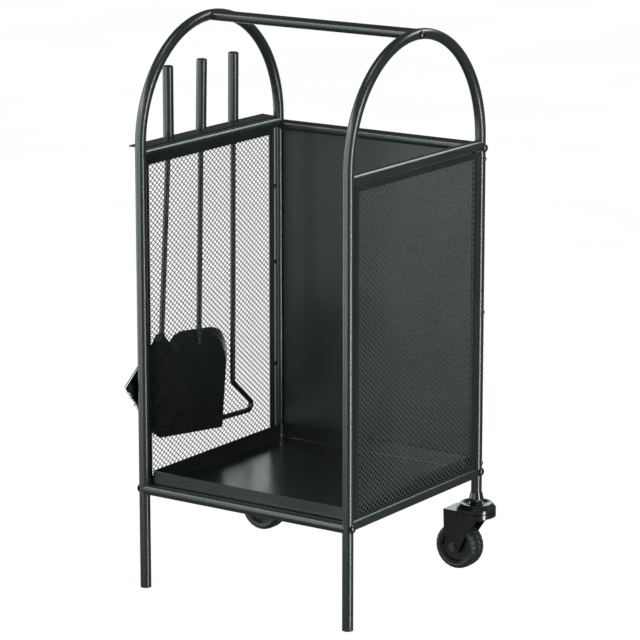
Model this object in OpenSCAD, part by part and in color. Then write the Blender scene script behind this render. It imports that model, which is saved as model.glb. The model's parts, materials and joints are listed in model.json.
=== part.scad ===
// Firewood log rack on two swivel casters, with three hearth tools hung on its left side.
// Two bent tube hoops carry the rails, the mesh side panels, the sheet back and the log tray.
// Millimetres, +Z up. The front (open) side faces -Y and the tools hang on the -X side.

/* [Frame] */
// Spacing of the two hoops, axis to axis
rack_width = 358; // [260:5:520]
// Spacing of front leg and rear post, axis to axis
rack_depth = 344; // [260:5:440]
// Height where the half-round top of a hoop begins
spring_z = 656; // [520:10:760]
// Outer diameter of the hoop and rail tubes
tube_d = 16; // [12:0.5:25]
// Wall of the tubes
tube_wall = 1.2; // [0.8:0.1:2]
// Height of the top side rails
side_top_z = 646; // [500:1:656]
// Height of the rear top rail
rear_top_z = 642; // [500:1:656]
// Height of the bottom side rails
side_bottom_z = 152; // [120:0.5:200]
// Height of the front bottom rail
front_bottom_z = 150; // [120:0.5:200]
// Height of the rear bottom rail
rear_bottom_z = 153.5; // [120:0.5:200]

/* [Panels and tray] */
// Width of the flat bar round each mesh panel
border_w = 10; // [6:1:16]
// Thickness of that bar
border_t = 2; // [1:0.5:4]
// Gap between a mesh panel and the legs
border_gap = 3; // [1:0.5:6]
// Thickness of the expanded mesh
mesh_t = 1; // [0.6:0.2:2]
// Thickness of the back panel and of the tray sheet
sheet_t = 1.2; // [0.8:0.1:2]
// Underside of the log tray
tray_z = 154; // [140:0.5:170]
// Height of the tray walls
tray_h = 22.5; // [10:0.5:40]
// Gap between the tray and the hoop axes at each side
tray_side = 8.5; // [8.5:0.5:30]

/* [Tool holder and tools] */
// Reach of the holder plate outwards from the rail axis
plate_reach = 27; // [20:0.5:45]
// Thickness of the holder plate
plate_t = 2; // [1.5:0.5:4]
// Distance of the hanging tools from the hoop plane
tool_x = 22.5; // [18:0.5:35]
// Diameter of a tool handle
grip_d = 15.8; // [12:0.2:20]
// Length of a tool handle
grip_l = 104.5; // [80:0.5:140]
// Diameter of a tool rod
rod_d = 8; // [6:0.5:10]

/* [Casters] */
// Wheel diameter over the tread
wheel_d = 70; // [50:1:80]
// Width of the tyre
wheel_w = 31; // [20:1:40]
// Horizontal offset of the axle from the swivel
trail = 28; // [15:1:40]
// Radius of the swivel race
race_r = 29.5; // [20:0.5:35]

/* [Hidden] */
$fn = 48;
tube_r = tube_d / 2;
bore_r = tube_r - tube_wall;
arc_r = rack_depth / 2;
apex_z = spring_z + arc_r;
post_z = 114.5;                  // lower end of the rear posts
foot_t = 2;                      // flange of the foot plugs
clear = 0.05;                    // running clearance of bolts, pins and bores, on the radius
plug_l = 14;                     // solid end of a bolted rail
lap = 0.4;                       // how far a rod's straights run into its elbows
lap_step = 0.06;                 // how much slimmer an elbow is than its straights, on the radius

bolt_r = 3;                      // frame bolts
bolt_head_r = 6.4;
bolt_head_h = 4;
screw_r = 2;                     // back panel screws
screw_head_r = 3.5;
screw_head_h = 2.4;
screw_heights = [167, 397, 626];

border_x = 1.5;                  // inner face of the panel border, outwards from the hoop plane
border_y0 = tube_r + border_gap;
border_z0 = side_bottom_z + sqrt(pow(tube_r, 2) - pow(border_x, 2)) + 0.05;
border_z1 = side_top_z - tube_r - 1;
window_y0 = border_y0 + border_w;
window_z0 = border_z0 + border_w / 2;
window_z1 = border_z1 - border_w + 1;
tab_h = 6;
tab_heights = [270, 430, 547.5];

back_y = 340;                    // front face of the back panel
back_fold = 12;                  // depth of its side flanges
back_bend = 5;                   // outer radius of the fold
tray_y0 = 7.6;
tray_corner = 4;
tray_bend = 3;

plate_z = side_top_z + tube_r;   // the holder plate lies on the crown of the left top rail
plate_in = 1.5;
grip_z = plate_z + plate_t + 0.2;
rod_plug = 24.5;                 // length of rod inside a grip
rod_r = rod_d / 2;
slot_w = rod_d + 1;
broom_y = 97;
shovel_y = 176.6;
poker_y = 257.8;
shovel_tilt = [-1.4, 0.28, 0];   // degrees out of plumb
poker_tilt = [-0.8, 0, 0];
shovel_end = 332;

block_turn = 48;                 // slope of the broom block below horizontal
block_s0 = -12;                  // its two ends, measured down the slope from the brush origin
block_s1 = 124;
block_n = 13;                    // block thickness across the bristles
block_w = 12.5;                  // block thickness along X
block_x = 18.5;
fan = [-12, -107];               // foremost bristle tips, along and away from the block
brush_y = 73.3;                  // brush origin, on the back of the block where the rod bends
brush_z = 358;

pan_x = 28.15;                   // near face of the shovel blade
pan_y = 180.1;                   // middle of its top edge
pan_z = 350.6;
pan_turn = 6.5;
pan_half = 82;                   // half width at the rim
pan_len = 156;
pan_deep = 8;
pan_inset = 12.5;                // how much narrower the floor is than the rim, at each side
pan_corner = 48;
pan_t = 1.2;

wheel_r = wheel_d / 2;
axle_r = 3;
stem_r = 5;
race_z = 85.5;                   // underside of the swivel race
hood_z = 90;
hood_t = 2.4;
cheek_in = wheel_w / 2 + 1.5;    // inner face of a fork cheek from the wheel's middle
cheek_t = 2;
dish_z = 93.5;
nut_z = 103;
collar_z = 111.5;

// The box of the whole rack, so that its bottom centre sits on the origin.
box_x0 = -max(trail + wheel_r, pan_x + pan_deep);
box_x1 = rack_width + race_r;
box_y0 = brush_y + fan[0] * cos(block_turn) + fan[1] * sin(block_turn);
box_y1 = rack_depth + race_r;
shift = [-(box_x0 + box_x1) / 2, -(box_y0 + box_y1) / 2, 0];

powder = [0.13, 0.14, 0.135];
powder_mesh = [0.16, 0.17, 0.165];
rubber = [0.05, 0.05, 0.05];
zinc = [0.55, 0.56, 0.57];
bristle = [0.06, 0.06, 0.06];

// Which sub-part to show

// ---------------------------------------------------------------- helpers

// Puts its children in the frame whose origin is the bottom centre of the rack's box.
module placed() translate(shift) children();

// side 0 is the left hoop plane, side 1 the right one; local +X points outwards on both.
module at_side(side) {
    if (side == 0) mirror([1, 0, 0]) children();
    else translate([rack_width, 0, 0]) children();
}

module along_x(from, to) translate([from, 0, 0]) rotate([0, 90, 0]) linear_extrude(to - from) children();
module along_y(from, to) translate([0, from, 0]) rotate([-90, 0, 0]) linear_extrude(to - from) children();

// A rod's path is a list of [y, z, bend radius]; trim_at is what a bend takes off each leg it joins.
function spot(p, i) = [p[i][0], p[i][1]];
function heading(p, i) = atan2(p[i + 1][1] - p[i][1], p[i + 1][0] - p[i][0]);
function turn_at(p, i) = let (t = heading(p, i) - heading(p, i - 1)) t > 180 ? t - 360 : t < -180 ? t + 360 : t;
function trim_at(p, i) = i == 0 || i == len(p) - 1 ? 0 : p[i][2] * tan(abs(turn_at(p, i)) / 2) - lap;

// A round rod bent in the YZ plane; its straights run a little way into its elbows.
module bent_rod(path, r) rotate([90, 0, 90]) for (i = [0:len(path) - 2]) {
    start = trim_at(path, i);
    end = norm(spot(path, i + 1) - spot(path, i)) - trim_at(path, i + 1);
    translate(spot(path, i)) {
        rotate([0, 0, heading(path, i)]) translate([start, 0, 0]) rotate([0, 90, 0])
            cylinder(r = r, h = end - start);
        if (i > 0) elbow(heading(path, i - 1), turn_at(path, i), r - lap_step, path[i][2]);
    }
}

// One bend at the origin, for a rod that arrives along angle dir and leaves turned by turn.
module elbow(dir, turn, r, bend) {
    side = sign(turn);
    rotate([0, 0, dir]) translate([-bend * tan(abs(turn) / 2), side * bend, 0])
        rotate([0, 0, side > 0 ? -90 : 90 + turn])
            rotate_extrude(angle = abs(turn), $fn = 96) translate([bend, 0]) circle(r = r);
}

// The half torus at the top of a hoop, and the two straight tubes under it.
module hoop_shape(r, front_z, rear_z) {
    translate([0, 0, front_z]) cylinder(r = r, h = spring_z - front_z);
    translate([0, rack_depth, rear_z]) cylinder(r = r, h = spring_z - rear_z);
    translate([0, arc_r, spring_z]) rotate([90, 0, 90])
        rotate_extrude(angle = 180, $fn = 96) translate([arc_r, 0]) circle(r = r);
}

// [y, z] of the four bolts in a hoop plane.
bolt_spots = [
    [0, front_bottom_z], [rack_depth, rear_bottom_z], [rack_depth, rear_top_z], [arc_r, apex_z]
];

module bolt_bores(r) for (spot = bolt_spots)
    translate([0, spot[0], spot[1]]) along_x(-tube_d, tube_d) circle(r = r);

module screw_bores(r) for (z = screw_heights)
    translate([0, rack_depth, z]) along_x(-tube_d, tube_d) circle(r = r);

// ---------------------------------------------------------------- hoops and rails

module hoop(side) at_side(side) difference() {
    hoop_shape(tube_r, foot_t, post_z);
    hoop_shape(bore_r, foot_t - 1, post_z - 1);
    bolt_bores(bolt_r + clear);
    screw_bores(screw_r + clear);
}

// The outside of every upright, to cope the rails against.
module uprights() for (x = [0, rack_width], y = [0, rack_depth])
    translate([x, y, foot_t]) cylinder(r = tube_r, h = spring_z - foot_t);

module cross_rail_outside(y, z) translate([0, y, z]) along_x(0, rack_width) circle(r = tube_r);

// A rail along X: a tube with solid, drilled ends, coped to the uprights and bolted through them.
module cross_rail(y, z) difference() {
    cross_rail_outside(y, z);
    translate([0, y, z]) {
        along_x(tube_r + plug_l, rack_width - tube_r - plug_l) circle(r = bore_r);
        along_x(0, tube_r + plug_l + 1) circle(r = bolt_r + clear);
        along_x(rack_width - tube_r - plug_l - 1, rack_width) circle(r = bolt_r + clear);
    }
    uprights();
}

module top_handle() difference() {
    translate([0, arc_r, apex_z]) difference() {
        along_x(0, rack_width) circle(r = tube_r);
        along_x(tube_r + plug_l, rack_width - tube_r - plug_l) circle(r = bore_r);
        along_x(0, tube_r + plug_l + 1) circle(r = bolt_r + clear);
        along_x(rack_width - tube_r - plug_l - 1, rack_width) circle(r = bolt_r + clear);
    }
    for (x = [0, rack_width]) translate([x, arc_r, spring_z]) rotate([90, 0, 90])
        rotate_extrude(angle = 180, $fn = 96) translate([arc_r, 0]) circle(r = tube_r);
}

// A welded rail along Y, coped to the uprights and to the two cross rails that meet it.
module side_rail(side, z) difference() {
    at_side(side) translate([0, 0, z]) difference() {
        along_y(0, rack_depth) circle(r = tube_r);
        along_y(0, rack_depth) circle(r = bore_r);
    }
    uprights();
    cross_rail_outside(0, front_bottom_z);
    cross_rail_outside(rack_depth, rear_bottom_z);
    cross_rail_outside(rack_depth, rear_top_z);
}

// ---------------------------------------------------------------- panels, tray, holder

module side_slab(x0, t, y0, z0, z1) translate([x0, y0, z0]) cube([t, rack_depth - 2 * y0, z1 - z0]);

// Flat bar border of a side panel, with the small tabs that join it to the legs.
module border(side) at_side(side) difference() {
    union() {
        difference() {
            side_slab(border_x, border_t, border_y0, border_z0, border_z1);
            translate([-1, 0, 0]) side_slab(border_x, border_t + 2, window_y0, window_z0, window_z1);
        }
        for (z = tab_heights, y = [border_y0 - border_gap - 1, rack_depth - border_y0])
            translate([border_x, y, z - tab_h / 2]) cube([border_t, border_gap + 1, tab_h]);
    }
    for (y = [0, rack_depth]) translate([0, y, border_z0 - 1]) cylinder(r = tube_r, h = border_z1);
}

// The expanded mesh as one plain sheet that fills the border's window.
module mesh(side) at_side(side)
    side_slab(border_x + (border_t - mesh_t) / 2, mesh_t, window_y0, window_z0, window_z1);

// One folded edge of the back panel, seen from above, with its corner at the origin.
module back_fold_outline() {
    translate([back_bend, back_bend]) intersection() {
        difference() {
            circle(r = back_bend);
            circle(r = back_bend - sheet_t);
        }
        translate([-back_bend, -back_bend]) square(back_bend);
    }
    translate([0, back_bend]) square([sheet_t, back_fold - back_bend]);
}

// The sheet between the rear posts, folded back along both sides, cut to the rails above and below.
module back_sheet() difference() {
    translate([0, back_y, rear_bottom_z]) linear_extrude(rear_top_z - rear_bottom_z) {
        translate([tube_r, 0]) back_fold_outline();
        translate([rack_width - tube_r, 0]) mirror([1, 0]) back_fold_outline();
        translate([tube_r + back_bend, 0]) square([rack_width - 2 * (tube_r + back_bend), sheet_t]);
    }
    cross_rail_outside(rack_depth, rear_top_z);
    cross_rail_outside(rack_depth, rear_bottom_z);
    for (x = [0, rack_width]) translate([x, 0, 0]) screw_bores(screw_r + clear);
}

// Section through the tray's edge: wall, bend and a strip of floor, measured from a corner's centre.
module tray_section() {
    translate([tray_corner - sheet_t, tray_bend]) square([sheet_t, tray_h - tray_bend]);
    translate([tray_corner - tray_bend, tray_bend]) intersection() {
        difference() {
            circle(r = tray_bend);
            circle(r = tray_bend - sheet_t);
        }
        translate([0, -tray_bend]) square(tray_bend);
    }
    square([tray_corner - tray_bend, sheet_t]);
}

// A straight stretch of that section; it starts at the origin, runs along +Y and faces +X.
module tray_edge(run) rotate([90, 0, 180]) mirror([1, 0, 0]) linear_extrude(run) tray_section();

module tray() {
    x0 = tray_side + tray_corner;
    x1 = rack_width - x0;
    y0 = tray_y0 + tray_corner;
    y1 = rack_depth - y0;
    translate([0, 0, tray_z]) {
        translate([x0, y0, 0]) cube([x1 - x0, y1 - y0, sheet_t]);
        for (c = [[x1, y0, -90], [x1, y1, 0], [x0, y1, 90], [x0, y0, 180]])
            translate([c[0], c[1], 0]) rotate([0, 0, c[2]]) rotate_extrude(angle = 90) tray_section();
        translate([x1, y0, 0]) tray_edge(y1 - y0);
        translate([x1, y1, 0]) rotate([0, 0, 90]) tray_edge(x1 - x0);
        translate([x0, y1, 0]) rotate([0, 0, 180]) tray_edge(y1 - y0);
        translate([x0, y0, 0]) rotate([0, 0, 270]) tray_edge(x1 - x0);
    }
}

// The flat holder with a notch for each rod, open at its outer edge.
module holder() translate([0, 0, plate_z]) linear_extrude(plate_t) difference() {
    polygon([
        [plate_in, tube_r + 0.3], [-plate_reach, tube_r + 0.3], [-plate_reach, rack_depth - 4],
        [-tube_r, rack_depth - tube_r - 0.5], [plate_in, rack_depth - tube_r - 0.5]
    ]);
    for (y = [broom_y, shovel_y, poker_y]) {
        translate([-tool_x, y]) circle(d = slot_w);
        translate([-plate_reach - 1, y - slot_w / 2]) square([plate_reach + 1 - tool_x, slot_w]);
    }
}

// ---------------------------------------------------------------- fasteners and feet

// A dome-headed fastener along +X, its head bearing on the outside of a tube on the Z axis.
module fastener(r, head_r, head_h, reach) {
    dome_r = (pow(head_r, 2) + pow(head_h, 2)) / (2 * head_h);
    rotate([0, 90, 0]) difference() {
        union() {
            translate([0, 0, -reach]) cylinder(r = r, h = reach + tube_r);
            translate([0, 0, tube_r]) rotate_extrude() intersection() {
                translate([0, head_h - dome_r]) circle(r = dome_r, $fn = 96);
                square([head_r, head_h]);
            }
        }
        translate([0, 0, tube_r + head_h / 2]) cylinder(r = r * 0.7, h = head_h, $fn = 6);
    }
}

module bolts() for (side = [0, 1]) at_side(side) for (spot = bolt_spots)
    translate([0, spot[0], spot[1]]) fastener(bolt_r, bolt_head_r, bolt_head_h, tube_r + 10);

module screws() for (side = [0, 1]) at_side(side) for (z = screw_heights)
    translate([0, rack_depth, z]) fastener(screw_r, screw_head_r, screw_head_h, tube_r + 5);

// Closed ends of the front legs.
module plugs() for (x = [0, rack_width]) translate([x, 0, 0]) {
    cylinder(r = tube_r, h = foot_t);
    cylinder(r = bore_r - clear, h = foot_t + 12);
}

// ---------------------------------------------------------------- casters

module at_posts() for (x = [0, rack_width]) translate([x, rack_depth, 0]) children();
module at_caster(side) translate([side * rack_width, rack_depth, 0]) children();

// The cone that closes the lower end of a rear post.
module collars() at_posts() difference() {
    translate([0, 0, collar_z]) rotate_extrude() polygon([
        [0, 0], [tube_r + 2.6, 0], [tube_r + 2.6, 1.5], [tube_r + 0.9, 10], [0, 10]
    ]);
    translate([0, 0, post_z]) cylinder(r = tube_r, h = 20);
    translate([0, 0, collar_z - 1]) cylinder(r = stem_r + clear, h = 20);
}

// The stem, fixed in the post, and the wide head under the fork that holds the swivel together.
module stems() at_posts() {
    translate([0, 0, race_z - 4]) cylinder(r = stem_r, h = post_z + 24 - race_z);
    translate([0, 0, race_z - 7]) cylinder(r = stem_r + 3, h = 3);
}

module nuts() at_posts() translate([0, 0, nut_z]) difference() {
    union() {
        cylinder(r = 11.2, h = 1.5);
        cylinder(r = 10.6, h = collar_z - nut_z, $fn = 6);
    }
    translate([0, 0, -1]) cylinder(r = stem_r + clear, h = 20);
}

// The pressed dish over the race: flat in the middle, up to a rim, then down to its skirt.
module dishes() at_posts() rotate_extrude() polygon([
    [stem_r + clear, nut_z - 1.4], [11, nut_z - 1.4], [20.5, nut_z + 2], [23.5, nut_z + 2.4],
    [race_r, dish_z + 5], [race_r, dish_z], [race_r - 1.6, dish_z], [race_r - 1.6, dish_z + 4.4],
    [23, nut_z + 0.9], [20.8, nut_z + 0.6], [11.2, nut_z - 2.8], [stem_r + clear, nut_z - 2.8],
    [stem_r + clear, nut_z - 1.4]
]);

// One cheek of the fork, in the plane of X and Z.
module cheek_outline() difference() {
    union() {
        polygon([
            [-46, hood_z], [14, hood_z], [9, race_z - 6], [-8, wheel_r + 19], [-trail + 9, wheel_r - 4],
            [-trail - 10, wheel_r - 3], [-45, wheel_r + 24]
        ]);
        translate([-trail, wheel_r]) circle(r = 10.5);
    }
    translate([-trail, wheel_r]) circle(r = axle_r + clear);
}

// The pressed fork: a flat hood, two cheeks, and the lower race ring round the stem.
module fork(side) at_caster(side) {
    difference() {
        union() {
            translate([-46, -cheek_in - cheek_t, hood_z]) cube([46, 2 * (cheek_in + cheek_t), hood_t]);
            translate([0, 0, race_z]) cylinder(r = race_r, h = hood_z + hood_t - race_z);
            translate([0, 0, race_z - 6]) cylinder(r1 = 17, r2 = 24, h = 6);
        }
        translate([0, 0, race_z - 3.5]) cylinder(r = stem_r + clear, h = 20);
        translate([0, 0, race_z - 8]) cylinder(r = stem_r + 3.4, h = 4.5);
        translate([-trail, 0, wheel_r]) along_y(-wheel_w, wheel_w) circle(r = wheel_r + 2.5);
    }
    for (y = [-cheek_in - cheek_t, cheek_in])
        translate([0, y + cheek_t, 0]) rotate([90, 0, 0]) linear_extrude(cheek_t) cheek_outline();
}

// The axle bolt: a washer outside each cheek, a round head in front and a hex nut behind.
module axle(side) at_caster(side) translate([-trail, 0, wheel_r]) {
    edge = cheek_in + cheek_t;
    along_y(-edge, edge) circle(r = axle_r);
    for (y = [-edge - 1, edge]) along_y(y, y + 1) circle(r = 8);
    along_y(-edge - 4, -edge - 1) circle(r = 5.6);
    along_y(edge + 1, edge + 4.4) circle(r = 5.8, $fn = 6);
}

// The moulded wheel centre, proud of the tyre at both hub faces.
module wheel_hub(side) at_caster(side) translate([-trail, 0, wheel_r]) rotate([90, 0, 0])
    rotate_extrude() polygon([
        [axle_r + clear, -wheel_w / 2 - 0.8], [8, -wheel_w / 2 - 0.8], [8, -wheel_w / 2 + 5],
        [wheel_r - 14, -wheel_w / 2 + 5], [wheel_r - 12, -wheel_w / 2 + 1.5],
        [wheel_r - 10, -wheel_w / 2 + 1.5], [wheel_r - 10, wheel_w / 2 - 1.5],
        [wheel_r - 12, wheel_w / 2 - 1.5], [wheel_r - 14, wheel_w / 2 - 5], [8, wheel_w / 2 - 5],
        [8, wheel_w / 2 + 0.8], [axle_r + clear, wheel_w / 2 + 0.8]
    ]);

module tyre(side) at_caster(side) translate([-trail, 0, wheel_r]) rotate([90, 0, 0])
    rotate_extrude($fn = 72) polygon([
        [wheel_r - 10, -wheel_w / 2 + 1.5], [wheel_r - 8, -wheel_w / 2], [wheel_r - 3, -wheel_w / 2],
        [wheel_r - 1, -wheel_w / 2 + 2.4], [wheel_r, -wheel_w / 2 + 6], [wheel_r, wheel_w / 2 - 6],
        [wheel_r - 1, wheel_w / 2 - 2.4], [wheel_r - 3, wheel_w / 2], [wheel_r - 8, wheel_w / 2],
        [wheel_r - 10, wheel_w / 2 - 1.5]
    ]);

// ---------------------------------------------------------------- tools

// Tools hang from the plate by the undersides of their grips; at_tool puts that seat on the origin.
module at_tool(y) translate([-tool_x, y, grip_z]) children();

// A straight grip with a softened top and a blind hole for its rod.
module grip() difference() {
    rotate_extrude() {
        square([grip_d / 2, grip_l - 2.5]);
        square([grip_d / 2 - 2.5, grip_l]);
        translate([grip_d / 2 - 2.5, grip_l - 2.5]) circle(r = 2.5);
    }
    translate([0, 0, -1]) cylinder(r = rod_r, h = rod_plug + 1.5);
}

// The broom's rod leans forwards under its grip, then bends to run down the back of the block.
block_dir = [cos(block_turn), -sin(block_turn)];
block_out = [sin(block_turn), cos(block_turn)];
rod_line = [brush_y, brush_z] + rod_r * block_out;     // [y, z] on the slanted stretch

module broom_stick() translate([-tool_x, 0, 0]) bent_rod([
    [broom_y, grip_z + rod_plug, 0], [broom_y, grip_z + 0.8, 30],
    concat(rod_line - 2.4 * block_dir, 14), concat(rod_line + (block_s1 - 1) * block_dir, 0)
], rod_r);

// Local frame of the brush: +X runs down the block, +Y points from the bristles to the rod.
module at_brush() translate([0, brush_y, brush_z]) rotate([-block_turn, 0, 0])
    rotate([90, 0, 90]) children();

module block() translate([-block_x - block_w / 2, 0, 0]) at_brush()
    translate([block_s0, -block_n, 0]) cube([block_s1 - block_s0, block_n, block_w]);

module bristles() translate([-block_x - block_w / 2 + 0.5, 0, 0]) at_brush()
    linear_extrude(block_w - 1) polygon([
        [block_s0, -block_n], [block_s1 - 3, -block_n], [block_s1 - 3, -91], [107, -109], [80, -117],
        [66, -112], [21, -109], fan, [-7, -81], [-6, -43], [-14, -28]
    ]);

// The shovel and the poker hang a little out of plumb, grip and rod together.
module leaning(y, tilt) at_tool(y) rotate(tilt) children();

// The shovel's rod ends on the near side of the blade.
module shovel_stick() leaning(shovel_y, shovel_tilt)
    translate([0, 0, shovel_end - grip_z]) cylinder(r = rod_r, h = grip_z - shovel_end + rod_plug);

// Outline of the blade, drawn inset from its rim: round top corners, square lower edge.
module pan_outline(inset) {
    half = pan_half - inset;
    hull() {
        for (s = [-1, 1]) translate([s * (half - pan_corner), -pan_corner - inset])
            circle(r = pan_corner);
        translate([-half, -pan_len]) square([2 * half, 1]);
    }
}

// The space from the floor's outline up to the rim's, both drawn in by skin.
module pan_solid(skin) hull() {
    linear_extrude(0.01) pan_outline(pan_inset + skin);
    translate([0, 0, pan_deep]) linear_extrude(0.01) pan_outline(skin);
}

// The pressed blade: flat floor towards the rack, low sloping walls on three sides.
module pan() translate([-pan_x, pan_y, pan_z]) rotate([-pan_turn, 0, 0]) rotate([90, 0, 90])
    mirror([0, 0, 1]) difference() {
        pan_solid(0);
        translate([0, 0, pan_t]) pan_solid(pan_t);
        translate([-pan_half, -pan_len - 1, pan_t]) cube([2 * pan_half, 2, pan_deep]);
    }

// The poker's rod ends in a hook that points forwards; its path starts from the grip's seat.
module poker_stick() leaning(poker_y, poker_tilt) bent_rod([
    [0, rod_plug, 0], [0, -401, 8], [64.5, -454.4, 8.8], [-24.5, -451.6, 0]
], rod_r);

// ---------------------------------------------------------------- sub-parts

module left_hoop() color(powder) placed() hoop(0);
module right_hoop() color(powder) placed() hoop(1);
module handle_bar() color(powder) placed() top_handle();
module rear_top_rail() color(powder) placed() cross_rail(rack_depth, rear_top_z);
module front_bottom_rail() color(powder) placed() cross_rail(0, front_bottom_z);
module rear_bottom_rail() color(powder) placed() cross_rail(rack_depth, rear_bottom_z);
module left_top_rail() color(powder) placed() side_rail(0, side_top_z);
module right_top_rail() color(powder) placed() side_rail(1, side_top_z);
module left_bottom_rail() color(powder) placed() side_rail(0, side_bottom_z);
module right_bottom_rail() color(powder) placed() side_rail(1, side_bottom_z);
module left_border() color(powder) placed() border(0);
module right_border() color(powder) placed() border(1);
module left_mesh() color(powder_mesh) placed() mesh(0);
module right_mesh() color(powder_mesh) placed() mesh(1);
module back_panel() color(powder) placed() back_sheet();
module log_tray() color(powder) placed() tray();
module tool_plate() color(powder) placed() holder();
module frame_bolts() color(powder) placed() bolts();
module panel_screws() color(powder) placed() screws();
module foot_plugs() color(rubber) placed() plugs();
module caster_collars() color(powder) placed() collars();
module caster_stems() color(zinc) placed() stems();
module caster_nuts() color(powder) placed() nuts();
module caster_dishes() color(powder) placed() dishes();
module left_fork() color(powder) placed() fork(0);
module right_fork() color(powder) placed() fork(1);
module left_axle() color(zinc) placed() axle(0);
module right_axle() color(zinc) placed() axle(1);
module left_wheel_hub() color(rubber) placed() wheel_hub(0);
module right_wheel_hub() color(rubber) placed() wheel_hub(1);
module left_tyre() color(rubber) placed() tyre(0);
module right_tyre() color(rubber) placed() tyre(1);
module broom_grip() color(powder) placed() at_tool(broom_y) grip();
module broom_rod() color(powder) placed() broom_stick();
module broom_block() color(powder) placed() block();
module broom_bristles() color(bristle) placed() bristles();
module shovel_grip() color(powder) placed() leaning(shovel_y, shovel_tilt) grip();
module shovel_rod() color(powder) placed() shovel_stick();
module shovel_pan() color(powder) placed() pan();
module poker_grip() color(powder) placed() leaning(poker_y, poker_tilt) grip();
module poker_rod() color(powder) placed() poker_stick();

left_hoop();
right_hoop();
handle_bar();
rear_top_rail();
front_bottom_rail();
rear_bottom_rail();
left_top_rail();
right_top_rail();
left_bottom_rail();
right_bottom_rail();
left_border();
right_border();
left_mesh();
right_mesh();
back_panel();
log_tray();
tool_plate();
frame_bolts();
panel_screws();
foot_plugs();
caster_collars();
caster_stems();
caster_nuts();
caster_dishes();
left_fork();
right_fork();
left_axle();
right_axle();
left_wheel_hub();
right_wheel_hub();
left_tyre();
right_tyre();
broom_grip();
broom_rod();
broom_block();
broom_bristles();
shovel_grip();
shovel_rod();
shovel_pan();
poker_grip();
poker_rod();
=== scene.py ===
import json
import math
import random

import bpy
from mathutils import Matrix, Vector


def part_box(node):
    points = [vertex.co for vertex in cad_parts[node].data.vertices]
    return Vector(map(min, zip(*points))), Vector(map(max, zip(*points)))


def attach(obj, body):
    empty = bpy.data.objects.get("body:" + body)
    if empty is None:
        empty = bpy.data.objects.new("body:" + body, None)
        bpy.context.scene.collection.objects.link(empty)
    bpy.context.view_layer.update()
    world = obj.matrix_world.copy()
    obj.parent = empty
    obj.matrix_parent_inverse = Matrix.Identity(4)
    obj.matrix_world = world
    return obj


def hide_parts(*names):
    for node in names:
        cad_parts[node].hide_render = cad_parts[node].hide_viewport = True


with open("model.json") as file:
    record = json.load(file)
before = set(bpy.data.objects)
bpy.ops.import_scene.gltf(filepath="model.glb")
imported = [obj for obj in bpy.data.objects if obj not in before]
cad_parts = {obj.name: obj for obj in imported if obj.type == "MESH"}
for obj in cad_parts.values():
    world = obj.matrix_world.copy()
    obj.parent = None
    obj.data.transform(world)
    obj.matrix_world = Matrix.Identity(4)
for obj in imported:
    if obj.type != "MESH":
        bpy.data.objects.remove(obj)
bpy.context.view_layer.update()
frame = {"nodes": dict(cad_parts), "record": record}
nodes = frame["nodes"]
MM = 0.001

# ------------------------------------------------------------------ materials


def new_material(name):
    """A material with its Principled shader, node list and link list."""
    mat = bpy.data.materials.new(name)
    mat.use_nodes = True
    tree = mat.node_tree
    return mat, tree.nodes["Principled BSDF"], tree.nodes, tree.links


def noise(ns, scale, detail=3.0, rough=0.5):
    tex = ns.new("ShaderNodeTexNoise")
    tex.inputs["Scale"].default_value = scale
    tex.inputs["Detail"].default_value = detail
    tex.inputs["Roughness"].default_value = rough
    return tex


def object_coords(ns, ls, tex):
    coord = ns.new("ShaderNodeTexCoord")
    ls.new(coord.outputs["Object"], tex.inputs["Vector"])


def ramp_between(ns, ls, source, dark, light, low=0.35, high=0.65):
    """A colour ramp from dark to light over the middle of a noise."""
    ramp = ns.new("ShaderNodeValToRGB")
    ramp.color_ramp.elements[0].position = low
    ramp.color_ramp.elements[0].color = (*dark, 1)
    ramp.color_ramp.elements[1].position = high
    ramp.color_ramp.elements[1].color = (*light, 1)
    ls.new(source, ramp.inputs["Fac"])
    return ramp


def add_bump(ns, ls, bsdf, source, strength, distance):
    bump = ns.new("ShaderNodeBump")
    bump.inputs["Strength"].default_value = strength
    bump.inputs["Distance"].default_value = distance
    ls.new(source, bump.inputs["Height"])
    ls.new(bump.outputs["Normal"], bsdf.inputs["Normal"])


def range_of(ns, ls, source, low, high):
    """Maps a 0 to 1 value to low to high."""
    span = ns.new("ShaderNodeMapRange")
    span.inputs["To Min"].default_value = low
    span.inputs["To Max"].default_value = high
    ls.new(source, span.inputs["Value"])
    return span.outputs["Result"]


def coated(name, dark, light, rough, specular=0.5, grain=1400.0, bump=0.04):
    """Powder coat: an even colour with a faint cloud in it, and fine orange peel."""
    mat, bsdf, ns, ls = new_material(name)
    cloud = noise(ns, 9.0)
    object_coords(ns, ls, cloud)
    ramp = ramp_between(ns, ls, cloud.outputs["Fac"], dark, light)
    ls.new(ramp.outputs["Color"], bsdf.inputs["Base Color"])
    ls.new(range_of(ns, ls, cloud.outputs["Fac"], rough - 0.04, rough + 0.04), bsdf.inputs["Roughness"])
    peel = noise(ns, grain, 2.0)
    object_coords(ns, ls, peel)
    add_bump(ns, ls, bsdf, peel.outputs["Fac"], bump, 0.0002)
    bsdf.inputs["Specular IOR Level"].default_value = specular
    return mat


def plated(name, colour, rough):
    """Zinc plate: metallic, with fine turned grain."""
    mat, bsdf, ns, ls = new_material(name)
    grain = noise(ns, 700.0)
    object_coords(ns, ls, grain)
    dark = tuple(c * 0.8 for c in colour)
    ramp = ramp_between(ns, ls, grain.outputs["Fac"], dark, colour)
    ls.new(ramp.outputs["Color"], bsdf.inputs["Base Color"])
    ls.new(range_of(ns, ls, grain.outputs["Fac"], rough - 0.06, rough + 0.06), bsdf.inputs["Roughness"])
    bsdf.inputs["Metallic"].default_value = 1.0
    return mat


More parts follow.
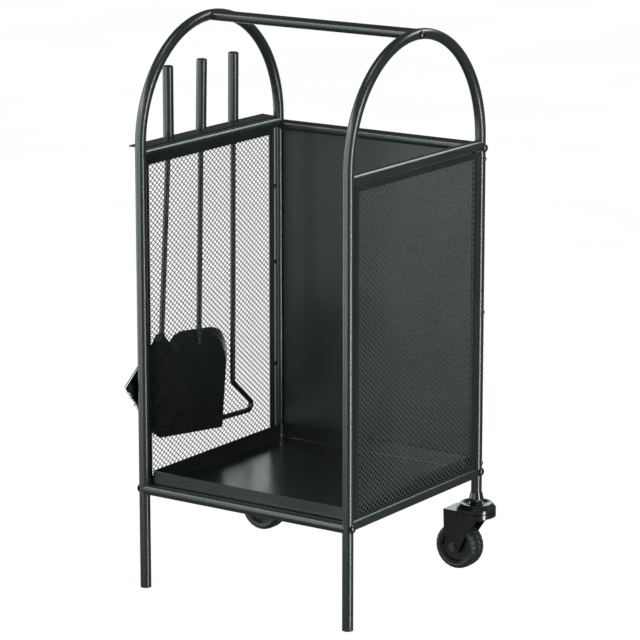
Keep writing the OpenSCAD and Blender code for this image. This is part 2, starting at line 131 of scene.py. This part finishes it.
# Name, darkest and palest colour, roughness, then any of specular, grain and bump.
COATS = (
    ("frame_tube", (0.0125, 0.0150, 0.0135), (0.0160, 0.0190, 0.0172), 0.27, 0.62),
    ("sheet", (0.0095, 0.0115, 0.0104), (0.0125, 0.0150, 0.0137), 0.32),
    ("tray", (0.0080, 0.0098, 0.0088), (0.0110, 0.0132, 0.0120), 0.24, 0.9),
    # The mesh coat is several times paler than the other charcoal coats: painted light that stands in
    # for the side lamp on the right panel's mesh.
    ("mesh", (0.044, 0.0510, 0.0470), (0.054, 0.0630, 0.0580), 0.34),
    # A darker copy of the mesh coat for the left panel's mesh, which is seen from inside the rack:
    # painted shade.
    ("mesh_left_painted_shade", (0.0100, 0.0120, 0.0108), (0.0140, 0.0165, 0.0150), 0.40, 0.3),
    ("fastener", (0.007, 0.008, 0.0075), (0.010, 0.011, 0.0105), 0.24, 0.6),
    ("caster_steel", (0.006, 0.007, 0.0065), (0.010, 0.011, 0.0105), 0.20, 0.7),
    ("hub", (0.005, 0.006, 0.0055), (0.008, 0.009, 0.0085), 0.32, 0.5, 900.0),
    ("tyre", (0.006, 0.007, 0.0065), (0.011, 0.012, 0.0115), 0.46, 0.5, 800.0, 0.3),
    ("foot", (0.010, 0.010, 0.010), (0.014, 0.014, 0.014), 0.60, 0.5, 800.0, 0.3),
    ("tool_steel", (0.011, 0.0130, 0.0120), (0.0145, 0.0170, 0.0155), 0.28, 0.6),
    ("bristle", (0.003, 0.0035, 0.003), (0.006, 0.007, 0.0065), 0.6, 0.2, 1200.0, 0.1),
)
MATERIALS = {coat[0]: coated(*coat) for coat in COATS}
MATERIALS["pin"] = plated("pin", (0.10, 0.10, 0.10), 0.30)


def dress(obj, slot):
    obj.data.materials.clear()
    obj.data.materials.append(MATERIALS[slot])


def dress_cad():
    """Every CAD node takes the finish of its own slot in the record, and the tray a glossier one."""
    for part in frame["record"]["subparts"]:
        dress(nodes[part["node"]], part["material_slot"])
    dress(nodes["log_tray"], "tray")


# ------------------------------------------------------------------ mesh building


def add_mesh(name, verts, faces, slot, body):
    """A piece of the given slot that rides on a body."""
    data = bpy.data.meshes.new(name)
    data.from_pydata([tuple(v) for v in verts], [], faces)
    data.update()
    obj = bpy.data.objects.new(name, data)
    bpy.context.scene.collection.objects.link(obj)
    dress(obj, slot)
    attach(obj, body)
    return obj


# Expanded mesh: rows of diamonds, each staggered by half a pitch from the next.
DIAMOND_PITCH = 10.2 * MM
ROW_PITCH = 8.2 * MM
STRAND = 1.15 * MM
STRAND_T = 0.4 * MM
TILT = 0.08 * MM
# What a strand takes off half a diamond, along the panel and up it, as shares of its width.
TRIM_Y = 0.62
TRIM_Z = 0.78


def whole_pitches(low, high):
    """Counts of whole diamonds that fill the window across and up, and the pitches that this gives."""
    across = round((high.y - low.y) / DIAMOND_PITCH)
    up = round((high.z - low.z) / ROW_PITCH)
    return across, up, (high.y - low.y) / across, (high.z - low.z) / up


def diamond_holes(node, outward):
    """Corner points of every hole, and the number of each hole's first point.

    Each corner has two points, one on each face of the sheet. The outermost holes run a little way
    under the border.
    """
    low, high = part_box(node)
    across, up, pitch_y, pitch_z = whole_pitches(low, high)
    mid_x = (low.x + high.x) / 2
    half_y = pitch_y / 2 - STRAND * TRIM_Y
    half_z = pitch_z / 2 - STRAND * TRIM_Z
    corners = ((half_y, 0, 0), (0, half_z, TILT), (-half_y, 0, 0), (0, -half_z, -TILT))
    verts, holes = [], {}
    for row in range(-1, 2 * up + 2):
        for col in range(-1, 2 * across + 2):
            if (row + col) % 2:
                continue
            y = low.y + col * pitch_y / 2
            z = low.z + row * pitch_z / 2
            holes[row, col] = len(verts)
            for dy, dz, lean in corners:
                for side in (-STRAND_T / 2, STRAND_T / 2):
                    verts.append((mid_x + outward * (lean + side), y + dy, z + dz))
    return verts, holes


def strands_between(holes):
    """Strands and crossings between neighbouring holes, as four pairs of a hole's number and a corner.

    Corners of a hole: 0 right, 1 top, 2 left, 3 bottom.
    """
    quads = []
    for (row, col), first in holes.items():
        upper_right = holes.get((row + 1, col + 1))
        lower_right = holes.get((row - 1, col + 1))
        right = holes.get((row, col + 2))
        if upper_right is not None:
            quads.append([(first, 0), (upper_right, 3), (upper_right, 2), (first, 1)])
        if lower_right is not None:
            quads.append([(first, 3), (lower_right, 2), (lower_right, 1), (first, 0)])
        if None not in (upper_right, lower_right, right):
            quads.append([(first, 0), (lower_right, 1), (right, 2), (upper_right, 3)])
    return quads


def sheet_faces(quads, outward):
    """Both faces of every quad, and a wall along each edge that only one quad has."""
    sides = (1, 0) if outward > 0 else (0, 1)
    faces = []
    walls = {}
    for quad in quads:
        front = [first + 2 * corner + sides[0] for first, corner in quad]
        back = [first + 2 * corner + sides[1] for first, corner in quad]
        faces += [front, back[::-1]]
        for a, b in zip(range(4), (1, 2, 3, 0)):
            edge = frozenset((front[a], front[b]))
            walls[edge] = None if edge in walls else [front[b], front[a], back[a], back[b]]
    return faces + [wall for wall in walls.values() if wall]


def tidy_faces(verts, faces):
    """Drops the points that no face uses."""
    used = sorted({i for face in faces for i in face})
    place = {old: new for new, old in enumerate(used)}
    return [verts[i] for i in used], [[place[i] for i in face] for face in faces]


def build_side_mesh(node, name, outward, painted_light_coat):
    """Diamond mesh in the window of a side panel, in a coat with painted light and shade in its colour.
    """
    verts, holes = diamond_holes(node, outward)
    verts, faces = tidy_faces(verts, sheet_faces(strands_between(holes), outward))
    obj = add_mesh(name, verts, faces, "mesh", "rack")
    dress(obj, painted_light_coat)
    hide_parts(node)


# Tyre: a crowned tread of staggered lugs over a plain carcass.
LUGS = 26
LUG_H = 1.5 * MM
STEPS_PER_LUG = 20
GAP_SHARE = 0.3
LUG_SLANT = 0.35
CENTRE_GROOVE = 0.07
# Side wall from the hub outwards: place across as a share of half the width, depth under the crown.
SIDE_WALL = ((-0.90, 10 * MM), (-0.98, 8.5 * MM), (-1.0, 6 * MM), (-0.97, 3.4 * MM))
TREAD_EDGE = 0.82
TREAD_STEPS = 16
CROWN = 3 * MM


def tread_drop(turn, across):
    """How far the tread lies under the lug tops, for a turn (0 to 1) and a place across (-1 to 1)."""
    if abs(across) < CENTRE_GROOVE:
        return LUG_H
    shift = 0.5 if across > 0 else 0.0
    lug = (turn * LUGS + shift + LUG_SLANT * abs(across)) % 1.0
    return LUG_H if lug < GAP_SHARE else 0.0


def tyre_section(radius):
    """The tyre's section from side to side: place across, radius, and whether it carries lugs."""
    wall = [(across, radius - depth, False) for across, depth in SIDE_WALL]
    tread = [-TREAD_EDGE + 2 * TREAD_EDGE * i / TREAD_STEPS for i in range(TREAD_STEPS + 1)]
    crown = [(across, radius - CROWN * across ** 4, True) for across in tread]
    return wall + crown + [(-across, r, lugged) for across, r, lugged in reversed(wall)]


def build_tyre(node, body):
    """A tyre about its own axle, in the CAD tyre's box."""
    low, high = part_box(node)
    centre = (low + high) / 2
    half = (high.y - low.y) / 2
    section = tyre_section((high.z - low.z) / 2)
    steps = LUGS * STEPS_PER_LUG
    count = len(section)
    verts, faces = [], []
    for step in range(steps):
        angle = 2 * math.pi * step / steps
        for across, r, lugged in section:
            r -= tread_drop(step / steps, across) if lugged else 0.0
            y = centre.y + across * half
            verts.append((centre.x + r * math.cos(angle), y, centre.z + r * math.sin(angle)))
        for k in range(count):
            a, b = step * count, (step + 1) % steps * count
            faces.append([a + k, a + (k + 1) % count, b + (k + 1) % count, b + k])
    obj = add_mesh(node + "_tread", verts, faces, "tyre", body)
    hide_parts(node)


# Broom: separate fibres that fan out from the block.
FIBRES_ALONG = 84
FIBRES_ACROSS = 10
FIBRE_R = 0.75 * MM
FIBRE_SIDES = 3
FIBRE_TAPER = 0.6
# Fibre length along the block, from its upper end (0) to its lower end (1).
FIBRE_LENGTHS = ((0.0, 93), (0.25, 95.5), (0.55, 98), (0.7, 102), (0.88, 95), (1.0, 77))
# Each fibre's chance part: place of its root in its cell, length, drift along the block, splay.
ROOT_SPREAD = 0.3
LENGTH_SPREAD = (0.93, 0.995)
DRIFT_SPREAD = 2.0 * MM
SPLAY = 1.2 * MM
# How far the tips drift towards the block's upper end there.
FAN = 6 * MM
BLOCK_TURN = math.radians(48)
# The fibres' roots stop short of the block's upper and lower ends.
UPPER_MARGIN = 0.5 * MM
LOWER_MARGIN = 4.5 * MM


def block_frame():
    """Where the bristles start, the ways along and out of the block, and its length, from its box."""
    low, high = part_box("broom_block")
    span_y, span_z = high.y - low.y, high.z - low.z
    cos, sin = math.cos(BLOCK_TURN), math.sin(BLOCK_TURN)
    along = Vector((0, cos, -sin))
    away = Vector((0, -sin, -cos))
    # span_y = length cos + thick sin and span_z = length sin + thick cos.
    det = cos * cos - sin * sin
    length = (span_y * cos - span_z * sin) / det
    thick = (span_z * cos - span_y * sin) / det
    corner = Vector((0, low.y + thick * sin, high.z))
    return corner + away * thick, along, away, length


def fibre_length(s):
    """Length of the fibres at a place along the block, 0 to 1."""
    for (s0, l0), (s1, l1) in zip(FIBRE_LENGTHS, FIBRE_LENGTHS[1:]):
        if s <= s1:
            return (l0 + (l1 - l0) * (s - s0) / (s1 - s0)) * MM
    return FIBRE_LENGTHS[-1][1] * MM


def add_fibre(verts, faces, root, tip):
    """A three-sided fibre that narrows to its tip."""
    axis = (tip - root).normalized()
    side = axis.cross(Vector((1, 0, 0))).normalized()
    other = axis.cross(side)
    first = len(verts)
    for k in range(FIBRE_SIDES):
        angle = 2 * math.pi * k / FIBRE_SIDES
        spoke = (side * math.cos(angle) + other * math.sin(angle)) * FIBRE_R
        verts.append(root + spoke)
        verts.append(tip + spoke * FIBRE_TAPER)
    for k in range(FIBRE_SIDES):
        a, b = first + 2 * k, first + 2 * ((k + 1) % FIBRE_SIDES)
        faces.append([a, b, b + 1, a + 1])
    faces.append([first, first + 4, first + 2])
    faces.append([first + 1, first + 3, first + 5])


def build_bristles():
    """Stiff fibres rooted in the block, with ragged tips."""
    rng = random.Random(7)
    low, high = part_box("broom_bristles")
    origin, along, away, block_length = block_frame()
    start = UPPER_MARGIN
    end = block_length - LOWER_MARGIN
    verts, faces = [], []
    for i in range(FIBRES_ALONG):
        for j in range(FIBRES_ACROSS):
            s = (i + 0.5 + rng.uniform(-ROOT_SPREAD, ROOT_SPREAD)) / FIBRES_ALONG
            w = (j + 0.5 + rng.uniform(-ROOT_SPREAD, ROOT_SPREAD)) / FIBRES_ACROSS
            x = low.x + FIBRE_R + (high.x - low.x - 2 * FIBRE_R) * w
            root = origin + along * (start + (end - start) * s)
            length = fibre_length(s) * rng.uniform(*LENGTH_SPREAD)
            drift = rng.uniform(-DRIFT_SPREAD, DRIFT_SPREAD) - FAN * (1 - s) ** 2
            tip = root + away * length + along * drift
            root.x = x
            tip.x = min(max(x + rng.uniform(-SPLAY, SPLAY), low.x), high.x)
            add_fibre(verts, faces, root, tip)
    obj = add_mesh("broom_fibres", verts, faces, "bristle", "broom")
    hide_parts("broom_bristles")


# ------------------------------------------------------------------ studio

CAMERA_AZIMUTH = math.radians(34.326)
CAMERA_PITCH = math.radians(13.176)
CAMERA_DISTANCE = 4.796
FOCAL_PER_WIDTH = 5.135
SENSOR = 36.0
LOOK_RIGHT = 0.01175
LOOK_UP = 0.3939

FLOOR_HALF = 30.0
AIM_HEIGHT = 0.40
LAMP_COLOUR = (0.90, 1.0, 0.93)
# Name, azimuth, elevation, distance, width, height, power: a broad panel in front and one on the left,
# a narrow strip on the right, a low key, boxes above and behind, and a small card at the back.
SOFTBOXES = (
    ("front", -8, 9, 2.4, 2.3, 2.3, 52),
    ("left", -66, 9, 2.4, 1.9, 2.3, 42),
    ("side", 84, 2, 2.4, 0.26, 2.8, 74),
    ("key", -34, 32, 2.4, 1.6, 0.3, 11),
    ("top", 20, 80, 2.4, 0.8, 0.8, 8),
    ("rear", 158, 38, 2.4, 1.2, 0.5, 14),
    ("card", 214, -2, 1.3, 1.0, 0.6, 3.4),
)


def rack_middle():
    """Middle of the four uprights, on the floor."""
    low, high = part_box("left_hoop")[0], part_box("right_hoop")[1]
    return Vector(((low.x + high.x) / 2, (low.y + high.y) / 2, 0))


def add_camera():
    """A long lens that looks at the rack from its right front corner, slightly downwards."""
    back = Vector((math.sin(CAMERA_AZIMUTH) * math.cos(CAMERA_PITCH),
                   -math.cos(CAMERA_AZIMUTH) * math.cos(CAMERA_PITCH), math.sin(CAMERA_PITCH)))
    right = Vector((math.cos(CAMERA_AZIMUTH), math.sin(CAMERA_AZIMUTH), 0))
    target = rack_middle() + right * LOOK_RIGHT + Vector((0, 0, LOOK_UP))
    data = bpy.data.cameras.new("camera")
    data.sensor_width = SENSOR
    data.lens = FOCAL_PER_WIDTH * SENSOR
    data.clip_end = 100
    camera = bpy.data.objects.new("camera", data)
    up = back.cross(right)
    turn = Matrix((right, up, back)).transposed()
    camera.matrix_world = Matrix.Translation(target + back * CAMERA_DISTANCE) @ turn.to_4x4()
    bpy.context.scene.collection.objects.link(camera)
    bpy.context.scene.camera = camera


def add_softbox(aim, name, azimuth, elevation, distance, width, height, power):
    """An area light on the given bearing, which faces the rack and isn't seen by the camera."""
    az, el = math.radians(azimuth), math.radians(elevation)
    way = Vector((math.sin(az) * math.cos(el), -math.cos(az) * math.cos(el), math.sin(el)))
    data = bpy.data.lights.new(name, "AREA")
    data.shape = "RECTANGLE"
    data.size, data.size_y = width, height
    data.energy = power
    data.color = LAMP_COLOUR
    lamp = bpy.data.objects.new(name, data)
    lamp.location = aim + way * distance
    lamp.rotation_euler = way.to_track_quat("Z", "Y").to_euler()
    lamp.visible_camera = False
    bpy.context.scene.collection.objects.link(lamp)


def add_floor():
    """A plain pale floor that lights itself and leaves the rack's own lighting alone."""
    data = bpy.data.meshes.new("floor")
    size = FLOOR_HALF
    corners = [(-size, -size, 0), (size, -size, 0), (size, size, 0), (-size, size, 0)]
    data.from_pydata(corners, [], [(0, 1, 2, 3)])
    floor = bpy.data.objects.new("floor", data)
    bpy.context.scene.collection.objects.link(floor)
    mat, bsdf, ns, ls = new_material("floor")
    grain = noise(ns, 2.0)
    object_coords(ns, ls, grain)
    tint = ramp_between(ns, ls, grain.outputs["Fac"], (0.985, 0.985, 0.985), (1.0, 1.0, 1.0))
    ls.new(tint.outputs["Color"], bsdf.inputs["Emission Color"])
    bsdf.inputs["Base Color"].default_value = (0.02, 0.02, 0.02, 1)
    bsdf.inputs["Roughness"].default_value = 0.9
    bsdf.inputs["Specular IOR Level"].default_value = 0.0
    bsdf.inputs["Emission Strength"].default_value = 1.0
    floor.data.materials.append(mat)
    floor.visible_glossy = False
    floor.visible_diffuse = False
    floor.visible_shadow = False


def add_world():
    world = bpy.data.worlds.new("studio")
    world.use_nodes = True
    sky = world.node_tree.nodes["Background"]
    sky.inputs["Color"].default_value = (0.92, 1.0, 0.95, 1)
    sky.inputs["Strength"].default_value = 0.13
    bpy.context.scene.world = world


def light_studio():
    aim = rack_middle() + Vector((0, 0, AIM_HEIGHT))
    add_world()
    add_floor()
    for box in SOFTBOXES:
        add_softbox(aim, *box)


# ------------------------------------------------------------------ assembly

bpy.context.scene.view_settings.view_transform = "Standard"
dress_cad()
# The left panel's mesh takes a copy of the mesh coat with painted shade, and the right panel's mesh
# takes the mesh coat with its painted light.
build_side_mesh("left_mesh", "left_expanded_mesh", -1, "mesh_left_painted_shade")
build_side_mesh("right_mesh", "right_expanded_mesh", 1, "mesh")
build_tyre("left_tyre", "left_wheel")
build_tyre("right_tyre", "right_wheel")
build_bristles()
add_camera()
light_studio()
